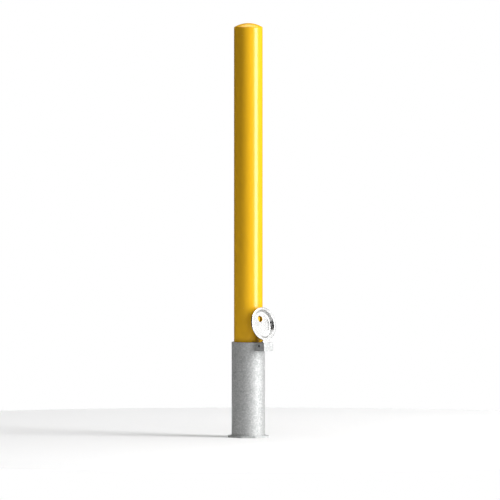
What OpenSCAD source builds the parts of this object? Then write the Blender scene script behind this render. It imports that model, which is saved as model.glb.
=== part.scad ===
// Lift-out bollard with a lidded ground sleeve, in millimetres.
// A tubular post stands in a sleeve that is set in the ground. The sleeve's hinged lid
// leans back against the post, and closes over the mouth once the post has been lifted out.
// The origin is on the post's axis at the underside of the base plate. +Z is up, and the
// hinge of the lid lies towards +X.

/* [Post] */
// Outside diameter of the post tube
post_d = 76.3; // [70:0.1:78]
// Wall thickness of the post tube
post_wall = 2.8; // [2:0.1:4]
// Height of the post above the mouth of the sleeve, with its cap
post_height = 850; // [500:10:1000]
// Rise of the domed cap
cap_rise = 10.8; // [6:0.1:20]
// Height of the welded seam under the cap
cap_seam = 1.6; // [1:0.1:3]

/* [Ground sleeve] */
// Outside diameter of the sleeve tube
sleeve_d = 89.1; // [88:0.1:92]
// Wall thickness of the sleeve tube
sleeve_wall = 3.2; // [2.6:0.1:3.6]
// Length of the sleeve tube
sleeve_len = 250; // [200:5:500]
// Side of the square base plate, which also sets out its cut corners
base_w = 104; // [102:1:120]
// Thickness of the base plate
base_t = 4.5; // [3:0.5:9]
// Distance from the axis to each cut corner of the base plate
base_corner = 54.5; // [52:0.5:60]
// Diameter of the drain hole in the base plate
drain_d = 20; // [10:1:30]

/* [Post seat and guides] */
// Height of the ring that the post stands on
seat_h = 6; // [4:0.5:12]
// Bore of the seat ring, open over the drain
seat_bore = 50; // [34:1:60]
// Diameter of the round bar that stops the post from turning
bar_d = 10; // [6:0.5:14]
// Height of each guide ring
guide_h = 24; // [12:1:40]
// Radial play of the post in its guide rings
guide_play = 0.4; // [0.3:0.05:0.8]

/* [Hinge box] */
// Width of the hinge box, across both cheeks
box_w = 35; // [33:0.5:40]
// Height of the hinge box, down from the mouth of the sleeve
box_h = 22.5; // [20:0.5:30]
// Distance from the axis to the outer face of the hinge box
box_reach = 76.5; // [76:0.5:85]
// Thickness of the cheeks and the web
box_plate = 4.5; // [3:0.5:5]
// Diameter of the spring pin
pin_d = 6; // [5:0.5:7]
// Distance from the axis to the pin
pin_x = 57.4; // [57:0.1:58]
// Depth of the pin below the mouth of the sleeve
pin_drop = 8.8; // [8.5:0.1:9.5]

/* [Lid] */
// Diameter of the lid
lid_d = 89; // [88:0.5:90]
// Thickness of the flange that covers the rim of the sleeve
lid_flange = 3; // [2.5:0.1:3.2]
// Thickness of the wall and the floor of the dish
lid_wall = 3; // [2.5:0.1:3.2]
// Depth of the dish below the top of the flange
dish_depth = 11.5; // [6:0.5:11.5]
// How far the wall of the dish leans in from its mouth to its foot
dish_draft = 2.5; // [2:0.5:3]
// Radius of the fillet round the foot of the wall
dish_fillet = 4; // [3:0.5:4]
// Diameter of the finger hole
finger_d = 17; // [14:0.5:20]
// Distance from the centre of the lid to the finger hole, away from the hinge
finger_offset = 15; // [0:0.5:18]
// Thickness of the rubber seal under the flange
seal_t = 1.2; // [0.8:0.1:1.4]
// Angle that the lid is open, from closed over the sleeve
lid_open = 79.1; // [79.1:0.1:97]

/* [Hidden] */
$fn = 96;

// How far a cutting tool runs past the faces that it cuts
over = 1;

// Sleeve: radii and levels
sleeve_r = sleeve_d / 2;
sleeve_bore_r = sleeve_r - sleeve_wall;
mouth_z = base_t + sleeve_len;
weld_leg = 3.5;

// Post: radii and levels
post_r = post_d / 2;
post_bore_r = post_r - post_wall;
post_foot_z = base_t + seat_h;
dome_z = mouth_z + post_height - cap_rise;
tube_top_z = dome_z - cap_seam;
dome_r = (post_r * post_r + cap_rise * cap_rise) / (2 * cap_rise);
dome_centre_z = mouth_z + post_height - dome_r;
spigot_h = 14;
spigot_wall = 2.5;
spigot_play = 0.2;
seam_recess = 0.35;

// Locating bar, and the notches in the foot of the post that straddle it
bar_z = post_foot_z + 7;
notch_play = 0.5;
notch_w = bar_d + 2 * notch_play;
foot_ring_h = 14;
foot_ring_bore_r = 25;

// Guide rings: the upper one clears the dish of the closed lid
lower_guide_z = post_foot_z + 32;
upper_guide_z = mouth_z - 22 - guide_h;
guide_bore_r = post_r + guide_play;
guide_lead = 1.6;
guide_groove_w = 8;
guide_groove_depth = (sleeve_bore_r - guide_bore_r) / 2;

// Hinge box
box_z = mouth_z - box_h;
box_inner_w = box_w - 2 * box_plate;
web_x = box_reach - box_plate;
floor_t = 3;
pin_z = mouth_z - pin_drop;
pin_r = pin_d / 2;
pin_bore_r = pin_r - 1.2;
pin_recess = 0.8;
pin_slot = 1;

// Lid, in the closed place: lid_z is the top of its flange
lid_r = lid_d / 2;
lid_z = mouth_z + seal_t + lid_flange;
lid_edge = 0.7;
dish_play = 0.65;
dish_mouth_r = sleeve_bore_r - dish_play - lid_wall;
dish_lean = atan(dish_draft / dish_depth);
dish_floor_r = dish_mouth_r - dish_draft - dish_fillet / tan(45 + dish_lean / 2);
dish_under_r = dish_floor_r + lid_wall * 0.86;
arm_w = box_inner_w - 1.6;
arm_root_x = lid_r - 3;
arm_heel_x = sleeve_r + 1.2;
arm_toe_x = pin_x + 5.8;
arm_boss_r = 6.3;
bush_r = pin_r + 1;
bush_play = 0.05;
bush_len = 10;
bush_flange_r = 5.6;
bush_flange_t = 0.5;
seal_inset = 0.2;

module tube(r_out, r_in, h) {
    difference() {
        cylinder(h = h, r = r_out);
        translate([0, 0, -over]) cylinder(h = h + 2 * over, r = r_in);
    }
}

// A cylinder along Y, centred on the XZ plane
module across(h, r) {
    rotate([90, 0, 0]) cylinder(h = h, r = r, center = true);
}

// Ground sleeve

module sleeve_tube() {
    color("lightslategray") translate([0, 0, base_t]) tube(sleeve_r, sleeve_bore_r, sleeve_len);
}

module base_plate() {
    color("slategray") linear_extrude(base_t) difference() {
        intersection() {
            square(base_w, center = true);
            rotate(45) square(2 * base_corner, center = true);
        }
        circle(d = drain_d);
    }
}

module base_weld() {
    color("darkgray") translate([0, 0, base_t]) rotate_extrude() polygon([
        [sleeve_r, 0],
        [sleeve_r + weld_leg, 0],
        [sleeve_r + weld_leg * 0.62, weld_leg * 0.62],
        [sleeve_r, weld_leg]
    ]);
}

module seat_ring() {
    color("dimgray") translate([0, 0, base_t]) tube(sleeve_bore_r, seat_bore / 2, seat_h);
}

module locating_bar() {
    color("gray") intersection() {
        translate([0, 0, bar_z]) rotate([0, 90, 0]) cylinder(h = sleeve_d, d = bar_d, center = true);
        cylinder(h = mouth_z, r = sleeve_bore_r);
    }
}

// A ring in the sleeve that centres the post, with drain grooves down its bore
module guide_ring(z) {
    color("#2b2b2b") translate([0, 0, z]) difference() {
        rotate_extrude() polygon([
            [guide_bore_r + guide_lead, 0],
            [sleeve_bore_r, 0],
            [sleeve_bore_r, guide_h],
            [guide_bore_r + guide_lead, guide_h],
            [guide_bore_r, guide_h - guide_lead],
            [guide_bore_r, guide_lead]
        ]);
        for (angle = [45:90:315]) rotate(angle)
            translate([guide_bore_r - over, -guide_groove_w / 2, -over])
                cube([over + guide_groove_depth, guide_groove_w, guide_h + 2 * over]);
    }
}

module lower_guide_ring() {
    guide_ring(lower_guide_z);
}

module upper_guide_ring() {
    guide_ring(upper_guide_z);
}

// Hinge box

// The cheek on the side that side points to, 1 for +Y or -1 for -Y, coped to the sleeve
module hinge_cheek(side) {
    color("slategray") difference() {
        translate([0, side * (box_w - box_plate) / 2 - box_plate / 2, box_z])
            cube([web_x, box_plate, box_h]);
        cylinder(h = mouth_z + over, r = sleeve_r);
        translate([pin_x, 0, pin_z]) across(box_w + 2 * over, pin_r);
    }
}

module hinge_cheek_left() {
    hinge_cheek(-1);
}

module hinge_cheek_right() {
    hinge_cheek(1);
}

module hinge_web() {
    color("lightsteelblue") translate([web_x, -box_w / 2, box_z]) cube([box_plate, box_w, box_h]);
}

module hinge_floor() {
    color("gray") difference() {
        translate([0, -box_inner_w / 2, box_z]) cube([web_x, box_inner_w, floor_t]);
        cylinder(h = mouth_z, r = sleeve_r);
    }
}

// Fillets in the corners between the cheeks and the sleeve
module hinge_welds() {
    corner_angle = asin(box_w / 2 / sleeve_r);
    corner_x = sleeve_r * cos(corner_angle);
    toe_angle = corner_angle + 5;
    color("darkgray") for (side = [0, 1]) mirror([0, side, 0]) difference() {
        translate([0, 0, box_z]) linear_extrude(box_h) polygon([
            [corner_x - over, box_w / 2],
            [corner_x + weld_leg, box_w / 2],
            [corner_x + 1.4, box_w / 2 + 2],
            [sleeve_r * cos(toe_angle), sleeve_r * sin(toe_angle)]
        ]);
        cylinder(h = mouth_z + over, r = sleeve_r);
    }
}

// Slotted spring pin, driven through both cheeks
module hinge_pin() {
    color("#3a3a3c") translate([pin_x, 0, pin_z]) difference() {
        across(box_w - 2 * pin_recess, pin_r);
        across(box_w, pin_bore_r);
        translate([0, 0, -pin_r]) cube([pin_slot, box_w, pin_d], center = true);
    }
}

// Lid: each piece is made closed over the sleeve, then swung open about the pin

module swung_open() {
    translate([pin_x, 0, pin_z]) rotate([0, lid_open, 0]) translate([-pin_x, 0, -pin_z]) children();
}

// The fillet from the floor of the dish up to its wall, in four steps
function dish_foot() = [
    for (step = [0:4])
        let (a = -90 + step * (90 - dish_lean) / 4)
            [dish_floor_r + dish_fillet * cos(a), dish_fillet - dish_depth + dish_fillet * sin(a)]
];

module lid_dish() {
    color("gainsboro") swung_open() difference() {
        union() {
            translate([0, 0, lid_z]) rotate_extrude() polygon([
                [0, -dish_depth],
                each dish_foot(),
                [dish_mouth_r, 0],
                [lid_r - lid_edge, 0],
                [lid_r, -lid_edge],
                [lid_r, -lid_flange],
                [dish_mouth_r + lid_wall, -lid_flange],
                [dish_under_r, -dish_depth - lid_wall],
                [0, -dish_depth - lid_wall]
            ]);
            lid_arm();
        }
        translate([-finger_offset, 0, lid_z - dish_depth - lid_wall - over])
            cylinder(h = lid_wall + 2 * over, d = finger_d);
        translate([pin_x, 0, pin_z]) across(arm_w + 2 * over, bush_r);
    }
}

// The arm of the lid, from the flange out to the boss round the pin
module lid_arm() {
    boss_drop = lid_z - pin_z;
    translate([0, 0, lid_z]) rotate([90, 0, 0]) linear_extrude(arm_w, center = true) union() {
        polygon([
            [arm_root_x, 0],
            [arm_toe_x - 1.5, 0],
            [arm_toe_x, -1.5],
            [pin_x + arm_boss_r, -boss_drop],
            [pin_x - arm_boss_r, -boss_drop],
            [arm_heel_x, -lid_flange - 1.8],
            [arm_heel_x, -lid_flange],
            [arm_root_x, -lid_flange]
        ]);
        translate([pin_x, -boss_drop]) circle(r = arm_boss_r);
    }
}

// A flanged bush in the end of the arm's bore that side points to
module lid_bush(side) {
    color("ivory") swung_open() translate([pin_x, 0, pin_z]) difference() {
        union() {
            translate([0, side * (arm_w - bush_len) / 2, 0]) across(bush_len, bush_r);
            translate([0, side * (arm_w + bush_flange_t) / 2, 0]) across(bush_flange_t, bush_flange_r);
        }
        across(box_w, pin_r + bush_play);
    }
}

module lid_bush_left() {
    lid_bush(-1);
}

module lid_bush_right() {
    lid_bush(1);
}

module lid_seal() {
    color("#1c1c1c") swung_open() translate([0, 0, lid_z - lid_flange - seal_t])
        tube(sleeve_r - seal_inset, sleeve_bore_r + seal_inset, seal_t);
}

// Post

// The space round the locating bar that the foot of the post leaves free
module foot_notch() {
    rotate([0, 90, 0]) cylinder(h = 2 * sleeve_d, d = notch_w, center = true);
    translate([-sleeve_d, -notch_w / 2, -bar_z]) cube([2 * sleeve_d, notch_w, bar_z]);
}

module post_tube() {
    color("gold") difference() {
        translate([0, 0, post_foot_z]) tube(post_r, post_bore_r, tube_top_z - post_foot_z);
        translate([0, 0, bar_z]) foot_notch();
    }
}

module post_foot_ring() {
    color("goldenrod") difference() {
        translate([0, 0, post_foot_z]) tube(post_bore_r, foot_ring_bore_r, foot_ring_h);
        translate([0, 0, bar_z]) foot_notch();
    }
}

module post_cap() {
    color("gold") union() {
        difference() {
            translate([0, 0, dome_centre_z]) sphere(r = dome_r);
            translate([0, 0, dome_centre_z]) sphere(r = dome_r - post_wall);
            translate([0, 0, dome_z - 2 * dome_r])
                cylinder(h = 2 * dome_r, r = 2 * dome_r);
        }
        translate([0, 0, dome_z - spigot_h])
            tube(post_bore_r - spigot_play, post_bore_r - spigot_play - spigot_wall, spigot_h);
    }
}

module cap_weld() {
    color("goldenrod") translate([0, 0, tube_top_z])
        tube(post_r - seam_recess, post_bore_r - spigot_play, cap_seam);
}

sleeve_tube();
base_plate();
base_weld();
seat_ring();
locating_bar();
lower_guide_ring();
upper_guide_ring();
hinge_cheek_left();
hinge_cheek_right();
hinge_web();
hinge_floor();
hinge_welds();
hinge_pin();
lid_dish();
lid_bush_left();
lid_bush_right();
lid_seal();
post_tube();
post_cap();
cap_weld();
post_foot_ring();
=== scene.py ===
import math

import bmesh
import bpy
from mathutils import Matrix, Vector


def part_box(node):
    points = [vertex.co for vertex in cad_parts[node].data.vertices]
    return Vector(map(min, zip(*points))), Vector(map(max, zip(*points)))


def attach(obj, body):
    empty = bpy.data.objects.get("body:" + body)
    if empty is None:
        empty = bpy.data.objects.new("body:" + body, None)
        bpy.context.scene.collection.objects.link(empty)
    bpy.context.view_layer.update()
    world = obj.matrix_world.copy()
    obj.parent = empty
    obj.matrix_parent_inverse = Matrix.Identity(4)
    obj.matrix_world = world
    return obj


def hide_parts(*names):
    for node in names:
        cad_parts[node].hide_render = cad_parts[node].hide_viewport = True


# The looks of a lift-out bollard: a painted post in a galvanised ground sleeve, with a
# stainless lid hinged on the sleeve's mouth. Metres, +Z up, the hinge towards +X.

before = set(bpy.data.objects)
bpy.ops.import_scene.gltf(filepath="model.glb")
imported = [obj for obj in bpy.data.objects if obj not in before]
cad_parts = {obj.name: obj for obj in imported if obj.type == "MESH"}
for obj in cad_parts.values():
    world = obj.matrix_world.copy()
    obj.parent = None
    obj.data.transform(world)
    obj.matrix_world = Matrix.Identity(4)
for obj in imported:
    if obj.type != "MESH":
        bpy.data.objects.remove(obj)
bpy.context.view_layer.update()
scene = bpy.context.scene
MM = 0.001

# Places that the pieces share, from the CAD nodes' boxes
post_lo, post_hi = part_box("post_tube")
sleeve_lo, sleeve_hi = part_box("sleeve_tube")
plate_lo, plate_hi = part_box("base_plate")
cheek_lo, cheek_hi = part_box("hinge_cheek_left")
web_lo, web_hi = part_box("hinge_web")
seam_lo, seam_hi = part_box("cap_weld")
POST_R = (post_hi.x - post_lo.x) / 2
SLEEVE_R = (sleeve_hi.x - sleeve_lo.x) / 2
MOUTH_Z = sleeve_hi.z
PLATE_TOP = plate_hi.z


# ---------------------------------------------------------------- camera and light

# The photograph's view: level with the top of the post, from between the front and the hinge
CAMERA_AZIMUTH = math.radians(45)
CAMERA_DISTANCE = 20.0
CAMERA_RISE = 0.63
AIM_HEIGHT = 0.4995
AIM_OFFSET = 0.0045
FRAME_WIDTH = 1.3335
SENSOR_WIDTH = 36.0
CLIP_END = 100.0

# The softboxes: how far round from the camera two of them stand, and where, how large and how bright
KEY_TURN = math.radians(66)
KEY_DISTANCE = 3.0
KEY_HEIGHT = 2.0
KEY_SIZE = (1.5, 4.0)
KEY_RADIANCE = 10.3
OVERHEAD_HEIGHT = 4.0
OVERHEAD_SIZE = (5.0, 5.0)
OVERHEAD_RADIANCE = 1.9
PANEL_TURN = math.radians(93)
PANEL_DISTANCE = 6.0
PANEL_HEIGHT = 2.4
PANEL_AIM_HEIGHT = 0.3
PANEL_SIZE = (2.6, 2.2)
PANEL_RADIANCE = 1.0

# The world's strength behind the object, on its surfaces, and in its reflections
BACKDROP = 1.0
FILL = 0.075
REFLECTED_FILL = 0.02


def toward(azimuth):
    """The level unit direction from the object to a viewer at that azimuth, in radians."""
    return Vector((math.sin(azimuth), -math.cos(azimuth), 0))


def make_camera():
    right = toward(CAMERA_AZIMUTH + math.pi / 2)
    aim = Vector((0, 0, AIM_HEIGHT)) + right * AIM_OFFSET
    place = aim + toward(CAMERA_AZIMUTH) * CAMERA_DISTANCE + Vector((0, 0, CAMERA_RISE))
    data = bpy.data.cameras.new("camera")
    data.sensor_width = SENSOR_WIDTH
    data.lens = SENSOR_WIDTH * (place - aim).length / FRAME_WIDTH
    data.clip_end = CLIP_END
    camera = bpy.data.objects.new("camera", data)
    camera.location = place
    camera.rotation_euler = (aim - place).to_track_quat("-Z", "Y").to_euler()
    scene.collection.objects.link(camera)
    scene.camera = camera


def softbox(name, place, aim, size, radiance):
    """A rectangular soft light of that radiance, which the camera doesn't see."""
    data = bpy.data.lights.new(name, "AREA")
    data.shape = "RECTANGLE"
    data.size, data.size_y = size
    data.energy = radiance * math.pi * size[0] * size[1]
    light = bpy.data.objects.new(name, data)
    light.location = place
    light.rotation_euler = (Vector(aim) - Vector(place)).to_track_quat("-Z", "Y").to_euler()
    light.visible_camera = False
    scene.collection.objects.link(light)


def make_lights():
    """The key light, a wide light above, and a far panel that the open lid mirrors."""
    up = Vector((0, 0, 1))
    softbox("key", toward(CAMERA_AZIMUTH + KEY_TURN) * KEY_DISTANCE + up * KEY_HEIGHT,
            (0, 0, KEY_HEIGHT), KEY_SIZE, KEY_RADIANCE)
    softbox("overhead", (0.0, 0.0, OVERHEAD_HEIGHT), (0, 0, 0), OVERHEAD_SIZE, OVERHEAD_RADIANCE)
    softbox("lid_panel", toward(CAMERA_AZIMUTH + PANEL_TURN) * PANEL_DISTANCE + up * PANEL_HEIGHT,
            (0, 0, PANEL_AIM_HEIGHT), PANEL_SIZE, PANEL_RADIANCE)


def make_world():
    """White behind the object, and a dim even fill for its light."""
    world = bpy.data.worlds.new("studio")
    world.use_nodes = True
    tree = world.node_tree
    background = tree.nodes["Background"]
    background.inputs["Color"].default_value = (1, 1, 1, 1)
    path = tree.nodes.new("ShaderNodeLightPath")
    unseen = tree.nodes.new("ShaderNodeMapRange")
    unseen.inputs["To Min"].default_value = FILL
    unseen.inputs["To Max"].default_value = REFLECTED_FILL
    seen = tree.nodes.new("ShaderNodeMix")
    seen.inputs["B"].default_value = BACKDROP
    tree.links.new(path.outputs["Is Glossy Ray"], unseen.inputs["Value"])
    tree.links.new(unseen.outputs["Result"], seen.inputs["A"])
    tree.links.new(path.outputs["Is Camera Ray"], seen.inputs["Factor"])
    tree.links.new(seen.outputs["Result"], background.inputs["Strength"])
    scene.world = world
    scene.view_settings.view_transform = "Standard"


# ---------------------------------------------------------------- materials

class Shader:
    """A material's node tree, with short calls for the nodes that the finishes use."""

    def __init__(self, name, metallic):
        self.material = bpy.data.materials.new(name)
        self.material.use_nodes = True
        self.tree = self.material.node_tree
        self.surface = self.tree.nodes["Principled BSDF"]
        self.surface.inputs["Metallic"].default_value = metallic
        self.place = self.tree.nodes.new("ShaderNodeTexCoord").outputs["Object"]

    def feed(self, socket, value):
        if isinstance(value, bpy.types.NodeSocket):
            self.tree.links.new(value, socket)
        else:
            socket.default_value = value

    def stretched(self, scale):
        """The object's coordinates, scaled along each axis."""
        node = self.tree.nodes.new("ShaderNodeMapping")
        node.inputs["Scale"].default_value = scale
        self.feed(node.inputs["Vector"], self.place)
        return node.outputs["Vector"]

    def noise(self, scale, detail=3.0, rough=0.55, place=None):
        node = self.tree.nodes.new("ShaderNodeTexNoise")
        node.inputs["Scale"].default_value = scale
        node.inputs["Detail"].default_value = detail
        node.inputs["Roughness"].default_value = rough
        self.feed(node.inputs["Vector"], place or self.place)
        return node.outputs["Fac"]

    def cells(self, scale):
        """A random colour for each cell."""
        node = self.tree.nodes.new("ShaderNodeTexVoronoi")
        node.inputs["Scale"].default_value = scale
        self.feed(node.inputs["Vector"], self.place)
        return node.outputs["Color"]

    def remap(self, value, low, high, to_low, to_high):
        node = self.tree.nodes.new("ShaderNodeMapRange")
        for name, x in zip(("Value", "From Min", "From Max", "To Min", "To Max"),
                           (value, low, high, to_low, to_high)):
            self.feed(node.inputs[name], x)
        return node.outputs["Result"]

    def math(self, operation, a, b=0.0):
        node = self.tree.nodes.new("ShaderNodeMath")
        node.operation = operation
        self.feed(node.inputs[0], a)
        self.feed(node.inputs[1], b)
        return node.outputs["Value"]

    def blend(self, factor, a, b):
        node = self.tree.nodes.new("ShaderNodeMix")
        node.data_type = "RGBA"
        sockets = [s for s in node.inputs if s.type == "RGBA"]
        self.feed(node.inputs["Factor"], factor)
        for socket, value in zip(sockets, (a, b)):
            self.feed(socket, (*value, 1) if isinstance(value, tuple) else value)
        return next(s for s in node.outputs if s.type == "RGBA")

    def part(self, axis, vector=None):
        """One coordinate of a vector or colour, or of the place on the object."""
        node = self.tree.nodes.new("ShaderNodeSeparateXYZ")
        self.feed(node.inputs["Vector"], vector or self.place)
        return node.outputs[axis]

    def bump(self, height, distance, before=None):
        node = self.tree.nodes.new("ShaderNodeBump")
        node.inputs["Distance"].default_value = distance
        self.feed(node.inputs["Height"], height)
        if before:
            self.feed(node.inputs["Normal"], before)
        return node.outputs["Normal"]

    def finish(self, colour, roughness, normal=None):
        self.feed(self.surface.inputs["Base Color"], colour)
        self.feed(self.surface.inputs["Roughness"], roughness)
        if normal:
            self.feed(self.surface.inputs["Normal"], normal)
        return self.material


def post_paint():
    """Gloss stoved enamel: orange peel, a little dust, and rub marks below the sleeve's mouth."""
    deep, bright, rubbed = (0.80, 0.43, 0.011), (0.865, 0.472, 0.015), (0.30, 0.27, 0.22)
    s = Shader("post_paint", metallic=0.0)
    paint = s.blend(s.noise(9.0, detail=4), deep, bright)
    streaks = s.noise(1.0, detail=5, rough=0.65, place=s.stretched((900, 900, 14)))
    hidden = s.remap(s.part("Z"), MOUTH_Z - 12 * MM, MOUTH_Z - 4 * MM, 1.0, 0.0)
    rub = s.math("MULTIPLY", s.remap(streaks, 0.58, 0.66, 0.0, 1.0), hidden)
    dust = s.remap(s.noise(160.0, detail=6, rough=0.7), 0.3, 0.7, 0.22, 0.28)
    roughness = s.math("ADD", dust, s.math("MULTIPLY", rub, 0.3))
    peel = s.bump(s.noise(620.0, detail=2), 0.012 * MM)
    wave = s.bump(s.noise(90.0, detail=1), 0.02 * MM, peel)
    return s.finish(s.blend(rub, paint, rubbed), roughness, wave)


def galvanised(name, dull=0.0):
    """Hot-dip zinc: fine spangle, grey bloom, and a slightly lumpy surface. Dull darkens it all."""
    dark, light = [tuple(channel - dull for channel in colour)
                   for colour in ((0.37, 0.38, 0.38), (0.61, 0.615, 0.61))]
    s = Shader(name, metallic=0.7)
    big = s.part("X", s.cells(270.0))
    small = s.part("Y", s.cells(560.0))
    grain = s.noise(900.0, detail=3, rough=0.7)
    cloud = s.math("SUBTRACT", s.noise(60.0, detail=3), 0.5)
    tone = s.math("ADD", s.math("MULTIPLY", big, 0.35), s.math("MULTIPLY", small, 0.3))
    tone = s.math("ADD", tone, s.math("MULTIPLY", grain, 0.35))
    tone = s.math("ADD", tone, s.math("MULTIPLY", cloud, 0.2))
    colour = s.blend(s.remap(tone, 0.15, 0.85, 0.0, 1.0), dark, light)
    roughness = s.remap(tone, 0.15, 0.85, 0.72, 0.56)
    spangle = s.bump(s.math("ADD", big, grain), 0.05 * MM)
    lumps = s.bump(s.noise(330.0, detail=2), 0.16 * MM, spangle)
    return s.finish(colour, roughness, lumps)


def lid_steel():
    """Polished cast stainless steel, with patches that are a little duller."""
    s = Shader("lid_steel", metallic=1.0)
    cloud = s.noise(40.0, detail=3)
    colour = s.blend(cloud, (0.60, 0.60, 0.595), (0.68, 0.68, 0.675))
    roughness = s.remap(cloud, 0.3, 0.7, 0.23, 0.28)
    return s.finish(colour, roughness, s.bump(s.noise(700.0, detail=2), 0.0012 * MM))


def grained(name, dark, light, rough_low, rough_high, grain_scale, metallic=0.0):
    """A plastic, rubber or blackened metal with a fine grain."""
    s = Shader(name, metallic)
    grain = s.noise(grain_scale, detail=3)
    roughness = s.remap(grain, 0.3, 0.7, rough_low, rough_high)
    return s.finish(s.blend(grain, dark, light), roughness, s.bump(grain, 0.02 * MM))


# The floor is grey as far as the first radius, and white at the second: painted light that makes up
# for the lamps falling off towards its edge
FLOOR_GREY_RADIUS = 0.2
FLOOR_RADIUS = 1.5


def floor_paper():
    """A sheet of pale paper, with painted light: it gets whiter towards its edge to make up for the
    lamps' light falling off there.
    """
    s = Shader("floor_paper", metallic=0.0)
    x_squared = s.math("POWER", s.part("X"), 2.0)
    y_squared = s.math("POWER", s.part("Y"), 2.0)
    reach = s.math("SQRT", s.math("ADD", x_squared, y_squared))
    # Painted light: the colour whitens from the grey radius out to the edge, where the lamps' light
    # falls off
    edge = s.remap(reach, FLOOR_GREY_RADIUS, FLOOR_RADIUS, 0.0, 1.0)
    paper = s.blend(edge, (0.80, 0.80, 0.80), (0.98, 0.98, 0.98))
    fibre = s.blend(edge, (0.82, 0.82, 0.82), (0.99, 0.99, 0.99))
    return s.finish(s.blend(s.noise(300.0, detail=3), paper, fibre), 0.9)


ZINC = galvanised("galvanised_steel")
ZINC_WELD = galvanised("galvanised_weld", dull=0.06)
PAINT = post_paint()
LID = lid_steel()
PIN = grained("pin_steel", (0.02, 0.02, 0.021), (0.05, 0.048, 0.045), 0.35, 0.55, 1200.0, metallic=0.8)
GUIDE = grained("guide_plastic", (0.025, 0.025, 0.027), (0.04, 0.04, 0.042), 0.4, 0.55, 700.0)
BUSH = grained("bush_plastic", (0.70, 0.66, 0.55), (0.78, 0.75, 0.65), 0.35, 0.5, 700.0)
RUBBER = grained("seal_rubber", (0.012, 0.012, 0.012), (0.03, 0.03, 0.03), 0.6, 0.8, 900.0)

# ---------------------------------------------------------------- mesh tools

FULL = 2 * math.pi
ROUND_STEPS = 5
LATHE_SIDES = 160
BEVEL_STEPS = 3
MERGE_DISTANCE = 0.002 * MM


def rounded(corners, steps=ROUND_STEPS):
    """A closed outline from (x, y, radius) corners, each turned into an arc of that radius."""
    outline = []
    for i, (x, y, radius) in enumerate(corners):
        here = Vector((x, y))
        if radius <= 0:
            outline.append(here)
            continue
        back = (Vector(corners[i - 1][:2]) - here).normalized()
        ahead = (Vector(corners[(i + 1) % len(corners)][:2]) - here).normalized()
        half = back.angle(ahead) / 2
        centre = here + (back + ahead).normalized() * radius / math.sin(half)
        first = here + back * radius / math.tan(half) - centre
        last = here + ahead * radius / math.tan(half) - centre
        sweep = first.angle_signed(last)
        for k in range(steps + 1):
            outline.append(centre + Matrix.Rotation(-sweep * k / steps, 2) @ first)
    return outline


def new_piece(name, mesh, material, body, nodes, sharp_angle=40):
    """Turns a bmesh into a smooth-shaded piece that rides on a body and stands for CAD nodes."""
    bmesh.ops.remove_doubles(mesh, verts=mesh.verts, dist=MERGE_DISTANCE)
    bmesh.ops.recalc_face_normals(mesh, faces=mesh.faces)
    for face in mesh.faces:
        face.smooth = True
    limit = math.radians(sharp_angle)
    for edge in mesh.edges:
        edge.smooth = len(edge.link_faces) != 2 or edge.calc_face_angle() < limit
    data = bpy.data.meshes.new(name)
    mesh.to_mesh(data)
    mesh.free()
    data.materials.append(material)
    piece = bpy.data.objects.new(name, data)
    scene.collection.objects.link(piece)
    even = piece.modifiers.new("even_shading", "WEIGHTED_NORMAL")
    even.keep_sharp = True
    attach(piece, body)
    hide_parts(*nodes)


def bridge(mesh, rings, closed=False):
    """Joins each ring of vertices to the next one with quads, and the last to the first if closed."""
    following = rings[1:] + rings[:1] if closed else rings[1:]
    for lower, upper in zip(rings, following):
        for k in range(len(lower)):
            after = (k + 1) % len(lower)
            mesh.faces.new((lower[k], lower[after], upper[after], upper[k]))


def lathe(outline, sides=LATHE_SIDES, capped=False):
    """A bmesh turned about +Z from (radius, height) points, which form a closed outline
    or else a line from one flat cap to the other."""
    mesh = bmesh.new()
    turns = [(math.cos(FULL * k / sides), math.sin(FULL * k / sides)) for k in range(sides)]
    rings = [[mesh.verts.new((radius * x, radius * y, height)) for x, y in turns]
             for radius, height in outline]
    bridge(mesh, rings, closed=not capped)
    if capped:
        mesh.faces.new(rings[0])
        mesh.faces.new(rings[-1])
    return mesh


def prism(outline, low, high, turn=None):
    """A bmesh of an outline in XY, drawn up from low to high, then placed by a matrix."""
    mesh = bmesh.new()
    floor = [mesh.verts.new((x, y, low)) for x, y in outline]
    roof = [mesh.verts.new((x, y, high)) for x, y in outline]
    mesh.faces.new(floor)
    mesh.faces.new(roof)
    for k in range(len(outline)):
        after = (k + 1) % len(outline)
        mesh.faces.new((floor[k], floor[after], roof[after], roof[k]))
    if turn:
        mesh.transform(turn)
    return mesh


def circle(radius, centre=(0, 0), sides=64):
    return [Vector((centre[0] + radius * math.cos(FULL * k / sides),
                    centre[1] + radius * math.sin(FULL * k / sides))) for k in range(sides)]


def round_off(mesh, width, angle=40, chosen=None):
    """Rounds the mesh's sharp edges, or those of them whose middle passes the test."""
    bmesh.ops.recalc_face_normals(mesh, faces=mesh.faces)
    edges = [e for e in mesh.edges if len(e.link_faces) == 2
             and e.calc_face_angle() > math.radians(angle)
             and (chosen is None or chosen((e.verts[0].co + e.verts[1].co) / 2))]
    bmesh.ops.bevel(mesh, geom=edges, offset=width, segments=BEVEL_STEPS, profile=0.5,
                    affect="EDGES", clamp_overlap=True)
    return mesh


def combine(mesh, other, operation):
    """The exact union or difference of two bmeshes."""
    shapes = []
    for part in (mesh, other):
        bmesh.ops.recalc_face_normals(part, faces=part.faces)
        data = bpy.data.meshes.new("part")
        part.to_mesh(data)
        part.free()
        shapes.append(bpy.data.objects.new("part", data))
        scene.collection.objects.link(shapes[-1])
    boolean = shapes[0].modifiers.new("boolean", "BOOLEAN")
    boolean.operation = operation
    boolean.solver = "EXACT"
    boolean.object = shapes[1]
    bpy.context.view_layer.update()
    result = bmesh.new()
    result.from_object(shapes[0], bpy.context.evaluated_depsgraph_get())
    for shape in shapes:
        data = shape.data
        bpy.data.objects.remove(shape)
        bpy.data.meshes.remove(data)
    return result


def along_y(x, z):
    """The matrix that lays a shape drawn in XY into the XZ plane, with its origin at (x, z)."""
    return Matrix.Translation((x, 0, z)) @ Matrix.Rotation(math.pi / 2, 4, "X")


# ---------------------------------------------------------------- the post

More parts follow.
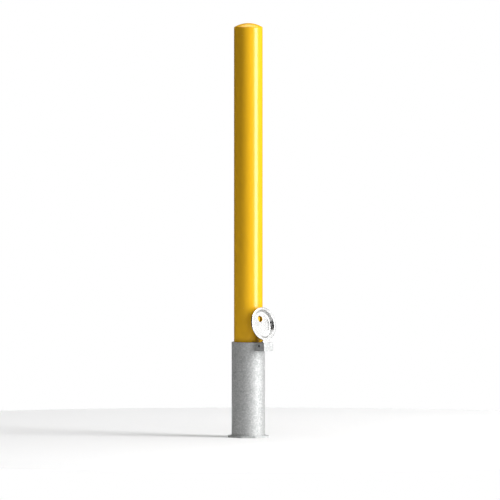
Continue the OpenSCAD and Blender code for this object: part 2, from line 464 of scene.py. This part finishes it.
POST_WALL = 2.8 * MM
FOOT_Z = post_lo.z
TUBE_TOP = post_hi.z
cap_lo, cap_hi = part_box("post_cap")
bar_lo, bar_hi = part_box("locating_bar")
EDGE = 0.5 * MM
FOOT_BORE_R = 25 * MM

# The notch clears the bar by the gap, its sides run down past the foot, and the tube's long walls
# start above it
NOTCH_GAP = 0.5 * MM
NOTCH_R = (bar_hi.z - bar_lo.z) / 2 + NOTCH_GAP
NOTCH_Z = (bar_lo.z + bar_hi.z) / 2
NOTCH_STEPS = 24
NOTCH_DROP = 30 * MM
PLAIN_TUBE_RISE = 26 * MM

# The dome's arc stops that many radians short of the rim, and a roll takes over
CAP_ROLL = 0.8 * MM
CAP_STEPS = 28
CAP_EDGE_ANGLE = 0.02
SPIGOT_GAP = 0.2 * MM
SPIGOT_WALL = 2.5 * MM


def cut_notch(mesh):
    """Cuts the slot that straddles the locating bar across the foot of the post."""
    turn = Matrix.Rotation(math.pi / 2, 4, "Z") @ along_y(0, NOTCH_Z)
    angles = [math.pi * k / NOTCH_STEPS for k in range(NOTCH_STEPS + 1)]
    arch = [Vector((NOTCH_R * math.cos(angle), NOTCH_R * math.sin(angle))) for angle in angles]
    outline = arch + [Vector((-NOTCH_R, -NOTCH_DROP)), Vector((NOTCH_R, -NOTCH_DROP))]
    return combine(mesh, prism(outline, -2 * POST_R, 2 * POST_R, turn), "DIFFERENCE")


def make_post():
    """The tube and the ring in its foot, both notched."""
    inner = POST_R - POST_WALL
    above_notch = FOOT_Z + PLAIN_TUBE_RISE
    outline = rounded([(inner, FOOT_Z, EDGE), (POST_R, FOOT_Z, EDGE),
                       (POST_R, above_notch, 0), (POST_R, TUBE_TOP, EDGE),
                       (inner, TUBE_TOP, EDGE), (inner, above_notch, 0)])
    new_piece("post_barrel", cut_notch(lathe(outline)), PAINT, "post", ["post_tube"])

    ring_lo, ring_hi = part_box("post_foot_ring")
    outline = rounded([(FOOT_BORE_R, ring_lo.z, EDGE), (inner, ring_lo.z, 0),
                       (inner, ring_hi.z, 0), (FOOT_BORE_R, ring_hi.z, EDGE)])
    new_piece("post_foot", cut_notch(lathe(outline, 96)), PAINT, "post", ["post_foot_ring"])


def make_cap():
    """A shallow pressed dome with a rolled edge, and the spigot that goes down into the tube."""
    rim = seam_hi.z
    rise = cap_hi.z - rim
    radius = (POST_R ** 2 + rise ** 2) / (2 * rise)
    centre = cap_hi.z - radius
    outer_angle = math.asin(POST_R / radius) - CAP_EDGE_ANGLE
    outline = []
    for k in range(1, CAP_STEPS + 1):
        angle = outer_angle * k / CAP_STEPS
        outline.append(Vector((radius * math.sin(angle), centre + radius * math.cos(angle))))
    outer = rounded([(outline[-1].x, outline[-1].y, 0), (POST_R, rim, CAP_ROLL),
                     (POST_R - POST_WALL, rim, 0)])
    outline += outer[1:-1]
    spigot_out = POST_R - POST_WALL - SPIGOT_GAP
    spigot_in = spigot_out - SPIGOT_WALL
    outline += [Vector(p) for p in ((spigot_out, rim), (spigot_out, cap_lo.z + EDGE),
                                    (spigot_out - EDGE, cap_lo.z), (spigot_in, cap_lo.z))]
    inner_radius = radius - POST_WALL
    inner_angle = math.asin(spigot_in / inner_radius)
    for k in range(CAP_STEPS, 0, -2):
        angle = inner_angle * k / CAP_STEPS
        outline.append(Vector((inner_radius * math.sin(angle),
                               centre + inner_radius * math.cos(angle))))
    new_piece("post_dome", lathe(outline, capped=True), PAINT, "post", ["post_cap"])


# ---------------------------------------------------------------- welds

WELD_SIDES = 720
FILLET_STEPS = 10
BASE_LEG = 3.1 * MM
CHEEK_LEG = 2.6 * MM
CHEEK_LEVELS = 90
CHEEK_RIPPLES = 9
WELD_SUNK = 0.4 * MM
SEAM_OVERLAP = 0.3 * MM
SEAM_INSET = 0.25 * MM


def lag(j, count):
    """How far the middle of a bead's scale trails behind its toes, in radians."""
    return 1.1 * math.sin(math.pi * j / (count - 1))


def ring_weld(name, section, material, body, node, ripples, depth):
    """A closed weld bead about the post's axis. Its scales lean, and each one bulges."""
    mesh = bmesh.new()
    count = len(section)
    middle = sum(section, Vector((0, 0))) / count
    rings = []
    for k in range(WELD_SIDES):
        angle = FULL * k / WELD_SIDES
        wander = 0.35 * math.sin(7 * angle) + 0.25 * math.sin(17 * angle + 1.0)
        breath = 0.05 * math.sin(5 * angle + 0.7)
        ring = []
        for j, point in enumerate(section):
            phase = ripples * angle - lag(j, count) + wander
            scales = 0.35 * math.sin(phase) + 0.3 * math.sin(phase / 3 + 2 * wander)
            radius, height = middle + (point - middle) * (1 + depth * scales + breath)
            ring.append(mesh.verts.new((radius * math.cos(angle), radius * math.sin(angle), height)))
        rings.append(ring)
    bridge(mesh, rings, closed=True)
    new_piece(name, mesh, material, body, [node], sharp_angle=75)


def fillet_section(corner, along, up, leg):
    """The closed section of a convex fillet weld, from one leg's toe round to the other's."""
    points = []
    for k in range(FILLET_STEPS + 1):
        turn = math.pi / 2 * k / FILLET_STEPS
        reach = leg * (0.80 + 0.14 * math.sin(2 * turn))
        points.append(corner + along * reach * math.cos(turn) + up * reach * math.sin(turn))
    points.append(corner - along * WELD_SUNK + up * leg * 0.5)
    points.append(corner - along * WELD_SUNK - up * WELD_SUNK)
    points.append(corner + along * leg * 0.5 - up * WELD_SUNK)
    return points


def make_base_weld():
    corner = Vector((SLEEVE_R, PLATE_TOP))
    section = fillet_section(corner, Vector((1, 0)), Vector((0, 1)), BASE_LEG)
    ring_weld("base_bead", section, ZINC_WELD, "ground_sleeve", "base_weld", ripples=190, depth=0.20)


def make_cap_weld():
    """The seam under the dome: a shallow painted bead between two fine grooves."""
    high, low = seam_hi.z + SEAM_OVERLAP, seam_lo.z - SEAM_OVERLAP
    crown = POST_R - SEAM_INSET
    deep = POST_R - POST_WALL
    section = [Vector(p) for p in ((deep, low), (crown - 0.6 * MM, low),
                                   (crown - 0.15 * MM, low + 0.4 * MM), (crown, (low + high) / 2),
                                   (crown - 0.15 * MM, high - 0.4 * MM), (crown - 0.6 * MM, high),
                                   (deep, high))]
    ring_weld("cap_bead", section, PAINT, "post", "cap_weld", ripples=150, depth=0.05)


# ---------------------------------------------------------------- the ground sleeve

SLEEVE_WALL = 3.2 * MM
MOUTH_EDGE = 0.7 * MM
PLATE_EDGE = 0.7 * MM
DRAIN_R = 10 * MM

# From the plate's middle to each cut corner
CORNER_REACH = 54.5 * MM


def make_sleeve():
    inner = SLEEVE_R - SLEEVE_WALL
    outline = rounded([(inner, sleeve_lo.z, 0), (SLEEVE_R, sleeve_lo.z, 0),
                       (SLEEVE_R, MOUTH_Z, MOUTH_EDGE), (inner, MOUTH_Z, MOUTH_EDGE)])
    new_piece("sleeve_barrel", lathe(outline), ZINC, "ground_sleeve", ["sleeve_tube"])


def make_base_plate():
    """A square plate whose corners are cut off square to its diagonals, with a drain hole."""
    half = plate_hi.x
    cut = math.sqrt(2) * CORNER_REACH - half
    points = []
    for x_side, y_side in ((1, 1), (-1, 1), (-1, -1), (1, -1)):
        pair = [(x_side * half, y_side * cut), (x_side * cut, y_side * half)]
        points += pair if x_side == y_side else pair[::-1]
    mesh = prism([Vector(p) for p in points], plate_lo.z, plate_hi.z)
    round_off(mesh, PLATE_EDGE)
    drain = prism(circle(DRAIN_R, sides=72), plate_lo.z - 10 * MM, plate_lo.z + 20 * MM)
    mesh = combine(mesh, drain, "DIFFERENCE")
    new_piece("foot_plate", mesh, ZINC, "ground_sleeve", ["base_plate"])


# ---------------------------------------------------------------- the hinge box

pin_lo, pin_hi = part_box("hinge_pin")
PIN_X = (pin_lo.x + pin_hi.x) / 2
PIN_Z = (pin_lo.z + pin_hi.z) / 2
PIN_R = (pin_hi.z - pin_lo.z) / 2
CHEEK_ROOT = 1.0 * MM
CHEEK_EDGE = 0.45 * MM
PIN_HOLE_EDGE = 0.25 * MM
WEB_EDGE = 0.6 * MM
THROUGH = 100 * MM


def plate(low, high, rounding):
    """A rounded flat plate between two corners."""
    corners_xy = [Vector((low.x, low.y)), Vector((high.x, low.y)),
                  Vector((high.x, high.y)), Vector((low.x, high.y))]
    return round_off(prism(corners_xy, low.z, high.z), rounding)


def near(x, z, radius):
    """The test of whether a point is on the rim of a hole along Y at (x, z)."""
    return lambda p: math.hypot(p.x - x, p.z - z) < radius * 1.05


def make_hinge_box():
    """Two cheeks that run a little way into the sleeve's wall, and the web between them."""
    root_x = SLEEVE_R * math.cos(math.asin(web_hi.y / SLEEVE_R)) - CHEEK_ROOT
    for name, node in (("left_cheek", "hinge_cheek_left"), ("right_cheek", "hinge_cheek_right")):
        low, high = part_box(node)
        mesh = plate(Vector((root_x, low.y, low.z)), high, CHEEK_EDGE)
        hole = prism(circle(PIN_R), -THROUGH, THROUGH, along_y(PIN_X, PIN_Z))
        mesh = combine(mesh, hole, "DIFFERENCE")
        round_off(mesh, PIN_HOLE_EDGE, 60, near(PIN_X, PIN_Z, PIN_R))
        new_piece(name, mesh, ZINC, "ground_sleeve", [node])
    new_piece("hinge_front", plate(web_lo, web_hi, WEB_EDGE), ZINC, "ground_sleeve", ["hinge_web"])


def make_hinge_welds():
    """A bead up each corner between a cheek and the sleeve, thinner at its two ends."""
    mesh = bmesh.new()
    low, high = cheek_lo.z + 0.3 * MM, cheek_hi.z - 0.6 * MM
    for side in (-1, 1):
        angle = side * math.asin(web_hi.y / SLEEVE_R)
        corner = Vector((SLEEVE_R * math.cos(angle), SLEEVE_R * math.sin(angle)))
        tangent = Vector((-math.sin(angle), math.cos(angle))) * side
        section = fillet_section(corner, Vector((1, 0)), tangent, CHEEK_LEG)
        count = len(section)
        rings = []
        for k in range(CHEEK_LEVELS + 1):
            t = k / CHEEK_LEVELS
            end = min(1.0, 0.45 + 6 * t, 0.45 + 6 * (1 - t))
            ring = []
            for j, point in enumerate(section):
                phase = CHEEK_RIPPLES * FULL * t - lag(j, count) + 0.4 * math.sin(9 * t)
                swell = end * (1 + 0.035 * math.sin(phase) + 0.07 * math.sin(11 * t + side))
                place = corner + (point - corner) * swell
                ring.append(mesh.verts.new((place.x, place.y, low + (high - low) * t)))
            rings.append(ring)
        bridge(mesh, rings)
        mesh.faces.new(rings[0])
        mesh.faces.new(rings[-1])
    new_piece("cheek_beads", mesh, ZINC_WELD, "ground_sleeve", ["hinge_welds"], sharp_angle=75)


# ---------------------------------------------------------------- the lid

# The lid is made closed over the sleeve, then swung open about the pin
LID_OPEN = math.radians(79.1)
LID_Z = MOUTH_Z + 4.2 * MM
LID_R = 44.5 * MM
FLANGE = 3.0 * MM
DISH_DEPTH = 11.5 * MM
DISH_WALL = 3.0 * MM
DISH_MOUTH_R = 37.7 * MM
DISH_FOOT_R = 35.2 * MM
DISH_FILLET = 4.0 * MM
DISH_UNDER_R = 34.56 * MM
FINGER_R = 8.5 * MM
FINGER_X = -15.0 * MM
ARM_HALF = 12.2 * MM
ARM_STEP = 0.25 * MM
ARM_ROOT_X = LID_R - 3 * MM
ARM_EDGE = 0.7 * MM
BOSS_R = 6.3 * MM
BOSS_STEPS = 24
BUSH_R = 4.0 * MM
FINGER_EDGE = 0.6 * MM
SEAL_THICKNESS = 1.2 * MM
SEAL_WIDTH = 2.8 * MM
SEAL_INSET = 0.2 * MM
SEAL_EDGE = 0.4 * MM


def swung_open():
    pin = Matrix.Translation((PIN_X, 0, PIN_Z))
    return pin @ Matrix.Rotation(LID_OPEN, 4, "Y") @ pin.inverted()


def lid_arm():
    """The arm from the flange out to the boss round the pin, with softened cast edges."""
    drop = LID_Z - PIN_Z
    heel_x = SLEEVE_R + 1.2 * MM
    heel_top = -FLANGE + 0.4 * MM
    outline = rounded([(ARM_ROOT_X, -ARM_STEP, 0), (PIN_X + 5.8 * MM, -ARM_STEP, 2.2 * MM),
                       (PIN_X + BOSS_R, -drop, 0)])[:-1]
    for k in range(BOSS_STEPS + 1):
        angle = -math.pi * k / BOSS_STEPS
        outline.append(Vector((PIN_X + BOSS_R * math.cos(angle), -drop + BOSS_R * math.sin(angle))))
    outline += [Vector((heel_x, -FLANGE - 1.8 * MM)), Vector((heel_x, heel_top)),
                Vector((ARM_ROOT_X, heel_top))]
    mesh = prism(outline, -ARM_HALF, ARM_HALF, along_y(0, LID_Z))
    return round_off(mesh, ARM_EDGE, 50)


def make_lid():
    """The dished disc with its arm, the bore for the bushes, and the finger hole. The outline's
    first and last corners only give its ends their direction, and the flat caps take their place."""
    under = -DISH_DEPTH - DISH_WALL
    middle = 1 * MM
    outline = rounded([(middle, -DISH_DEPTH, 0), (DISH_FOOT_R, -DISH_DEPTH, DISH_FILLET),
                       (DISH_MOUTH_R, 0, 0.7 * MM), (LID_R, 0, 0.8 * MM), (LID_R, -FLANGE, 0.5 * MM),
                       (DISH_MOUTH_R + DISH_WALL, -FLANGE, 0.8 * MM),
                       (DISH_UNDER_R, under, 1.2 * MM), (middle, under, 0)], 8)
    outline = [Vector((radius, LID_Z + z)) for radius, z in outline[1:-1]]
    mesh = lathe(outline, sides=192, capped=True)
    mesh = combine(mesh, lid_arm(), "UNION")
    bore = prism(circle(BUSH_R), -THROUGH, THROUGH, along_y(PIN_X, PIN_Z))
    mesh = combine(mesh, bore, "DIFFERENCE")
    above_floor = LID_Z - 5 * MM
    finger = prism(circle(FINGER_R, (FINGER_X, 0), 72), LID_Z - 30 * MM, above_floor)
    mesh = combine(mesh, finger, "DIFFERENCE")

    def on_finger_rim(p):
        return math.hypot(p.x - FINGER_X, p.y) < FINGER_R * 1.05 and p.z < above_floor

    round_off(mesh, FINGER_EDGE, 60, on_finger_rim)
    mesh.transform(swung_open())
    new_piece("lid_casting", mesh, LID, "lid", ["lid_dish"], sharp_angle=30)


def make_seal():
    top = LID_Z - FLANGE
    low = top - SEAL_THICKNESS
    outer = SLEEVE_R - SEAL_INSET
    inner = outer - SEAL_WIDTH
    outline = rounded([(inner, low, SEAL_EDGE), (outer, low, SEAL_EDGE),
                       (outer, top, 0), (inner, top, 0)])
    mesh = lathe(outline, 128)
    mesh.transform(swung_open())
    new_piece("rim_seal", mesh, RUBBER, "lid", ["lid_seal"])


# ---------------------------------------------------------------- CAD nodes that keep their own shape

NODE_MATERIALS = {
    "seat_ring": ZINC,
    "locating_bar": ZINC,
    "lower_guide_ring": GUIDE,
    "upper_guide_ring": GUIDE,
    "hinge_floor": ZINC,
    "hinge_pin": PIN,
    "lid_bush_left": BUSH,
    "lid_bush_right": BUSH,
}


def dress_nodes():
    for name, material in NODE_MATERIALS.items():
        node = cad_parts[name]
        node.data.materials.clear()
        node.data.materials.append(material)


# ---------------------------------------------------------------- the stage

FLOOR_SIDES = 96
FLOOR_GAP = 0.05 * MM


def make_floor():
    mesh = bmesh.new()
    bmesh.ops.create_circle(mesh, cap_ends=True, radius=FLOOR_RADIUS, segments=FLOOR_SIDES)
    data = bpy.data.meshes.new("floor")
    mesh.to_mesh(data)
    mesh.free()
    data.materials.append(floor_paper())
    floor = bpy.data.objects.new("floor", data)
    floor.location.z = plate_lo.z - FLOOR_GAP
    scene.collection.objects.link(floor)


make_camera()
make_lights()
make_world()
make_post()
make_cap()
make_cap_weld()
make_sleeve()
make_base_plate()
make_base_weld()
make_hinge_box()
make_hinge_welds()
make_lid()
make_seal()
dress_nodes()
make_floor()


def corners(box):
    return [list(box[0]), list(box[1])]
